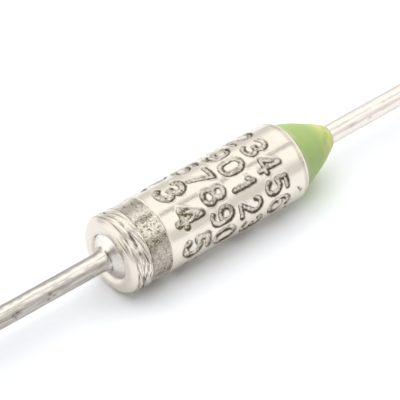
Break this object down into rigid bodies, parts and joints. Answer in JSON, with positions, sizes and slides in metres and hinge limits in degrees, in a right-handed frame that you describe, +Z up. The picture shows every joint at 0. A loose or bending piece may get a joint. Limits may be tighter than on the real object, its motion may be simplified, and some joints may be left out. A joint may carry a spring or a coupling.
{
  "type": "thermal fuse",
  "caption": "Axial thermal fuse: a plated round case with a wire lead riveted to its closed end and a resin cone sealing the other lead; it opens a circuit once when it overheats.",
  "frame": {"origin": "on the axis, at the middle of the case's length", "axes": "+X along the axis from the closed end to the resin cone, +Z up"},
  "size_m": [0.064, 0.004, 0.004],
  "materials": {
    "case_plating": "warm nickel plating, satin with fine scratches",
    "lead_wire": "tinned wire, drawn along its length",
    "pellet": "pressed powder, matt",
    "disc_brass": "stamped sheet, satin",
    "spring_steel": "drawn spring wire",
    "contact_silver": "silver plating, bright",
    "bushing_ceramic": "fired ceramic, matt",
    "seal_resin": "cast resin, satin"
  },
  "bodies": {
    "root": {"case": "case_plating", "case_lead": "lead_wire", "thermal_pellet": "pellet", "pellet_disc": "disc_brass", "barrel_spring": "spring_steel", "contact_disc": "disc_brass", "star_contact": "contact_silver", "isolated_lead": "lead_wire", "trip_spring": "spring_steel", "ceramic_bushing": "bushing_ceramic", "epoxy_seal": "seal_resin"}
  },
  "joints": []
}
